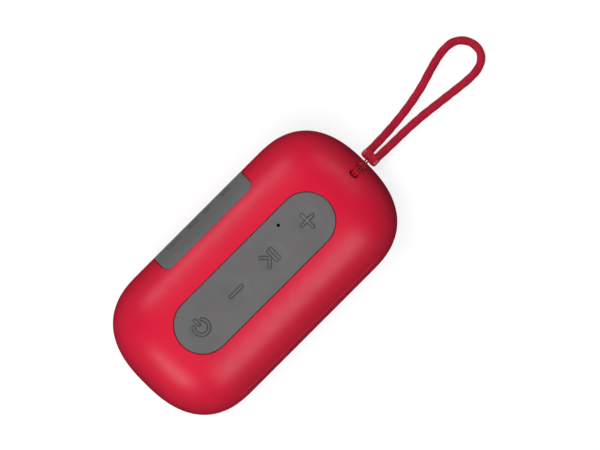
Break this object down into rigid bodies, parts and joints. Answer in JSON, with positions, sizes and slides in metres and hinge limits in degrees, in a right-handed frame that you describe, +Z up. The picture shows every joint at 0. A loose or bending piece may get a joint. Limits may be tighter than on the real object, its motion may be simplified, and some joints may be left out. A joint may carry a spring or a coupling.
{
  "type": "portable speaker",
  "caption": "Pillow-shaped portable speaker with a soft key pad on top, a rear rubber port cover, a front grille and a wrist lanyard.",
  "frame": {"origin": "under the middle of the housing, on the surface that the base pad stands on", "axes": "+X towards the lanyard end, +Y towards the rear port cover, +Z up through the key pad"},
  "size_m": [0.2449, 0.0836, 0.078],
  "materials": {
    "housing": "satin red painted ABS, soft sheen",
    "grille": "red powder coat on perforated sheet",
    "silicone": "matt grey silicone",
    "rubber": "black butyl rubber",
    "plastic": "black moulded ABS, fine texture",
    "steel": "zinc-plated steel",
    "magnet": "ferrite and steel",
    "cone_paper": "black pressed paper",
    "circuit_board": "green solder mask",
    "chip": "black epoxy",
    "cell": "blue shrink sleeve",
    "cloth": "black acoustic cloth",
    "ribbon": "amber flat cable",
    "lead": "red wire sleeve",
    "bead": "red moulded bead, soft sheen",
    "braid": "red braided polyester"
  },
  "bodies": {
    "housing": {"upper_shell": "housing", "lower_shell": "housing", "seam_gasket": "rubber", "base_pad": "silicone", "shell_screw_1": "steel", "shell_screw_2": "steel", "shell_screw_3": "steel", "shell_screw_4": "steel", "keypad": "silicone", "switch_power": "chip", "switch_minus": "chip", "switch_play": "chip", "switch_plus": "chip", "key_board": "circuit_board", "microphone": "chip", "grille": "grille", "grille_cloth": "cloth", "baffle": "plastic", "driver_basket_left": "steel", "driver_magnet_left": "magnet", "driver_surround_left": "rubber", "driver_basket_right": "steel", "driver_magnet_right": "magnet", "driver_surround_right": "rubber", "radiator_surround": "rubber", "port_panel": "plastic", "usb_socket": "steel", "card_socket": "steel", "charge_socket": "steel", "audio_socket": "plastic", "main_board": "circuit_board", "radio_module": "steel", "amplifier_chip": "chip", "battery": "cell", "battery_cradle": "plastic", "driver_lead_left": "lead", "driver_lead_right": "lead", "battery_lead": "lead", "key_ribbon": "ribbon", "lanyard_cup": "plastic", "lanyard_string_back": "braid", "lanyard_string_front": "braid", "lanyard_bead": "bead", "lanyard_cord": "braid"},
    "key_power_body": {"key_power": "silicone", "plunger_power": "plastic"},
    "key_minus_body": {"key_minus": "silicone", "plunger_minus": "plastic"},
    "key_play_body": {"key_play": "silicone", "plunger_play": "plastic"},
    "key_plus_body": {"key_plus": "silicone", "plunger_plus": "plastic"},
    "cone_left_body": {"driver_cone_left": "cone_paper", "driver_dust_cap_left": "cone_paper"},
    "cone_right_body": {"driver_cone_right": "cone_paper", "driver_dust_cap_right": "cone_paper"},
    "radiator_body": {"radiator_plate": "plastic"},
    "port_cover_body": {"port_cover": "silicone"}
  },
  "joints": [
    {"name": "key_power_press", "type": "slide", "parent": "housing", "child": "key_power_body", "axis": [0, 0, -1], "range_m": [0, 0.0006], "stiffness_N_per_m": 600, "springref_m": -0.0005},
    {"name": "key_minus_press", "type": "slide", "parent": "housing", "child": "key_minus_body", "axis": [0, 0, -1], "range_m": [0, 0.0006], "stiffness_N_per_m": 600, "springref_m": -0.0005},
    {"name": "key_play_press", "type": "slide", "parent": "housing", "child": "key_play_body", "axis": [0, 0, -1], "range_m": [0, 0.0006], "stiffness_N_per_m": 600, "springref_m": -0.0005},
    {"name": "key_plus_press", "type": "slide", "parent": "housing", "child": "key_plus_body", "axis": [0, 0, -1], "range_m": [0, 0.0006], "stiffness_N_per_m": 600, "springref_m": -0.0005},
    {"name": "port_cover_hinge", "type": "hinge", "parent": "housing", "child": "port_cover_body", "pos_m": [0, 0.0419, 0.0347], "axis": [-1, 0, 0], "range_deg": [0, 130]},
    {"name": "cone_left_stroke", "type": "slide", "parent": "housing", "child": "cone_left_body", "axis": [0, -1, 0], "range_m": [-0.001, 0.001], "stiffness_N_per_m": 1200},
    {"name": "cone_right_stroke", "type": "slide", "parent": "housing", "child": "cone_right_body", "axis": [0, -1, 0], "range_m": [-0.001, 0.001], "stiffness_N_per_m": 1200},
    {"name": "radiator_stroke", "type": "slide", "parent": "housing", "child": "radiator_body", "axis": [0, -1, 0], "range_m": [-0.001, 0.001], "stiffness_N_per_m": 800}
  ]
}
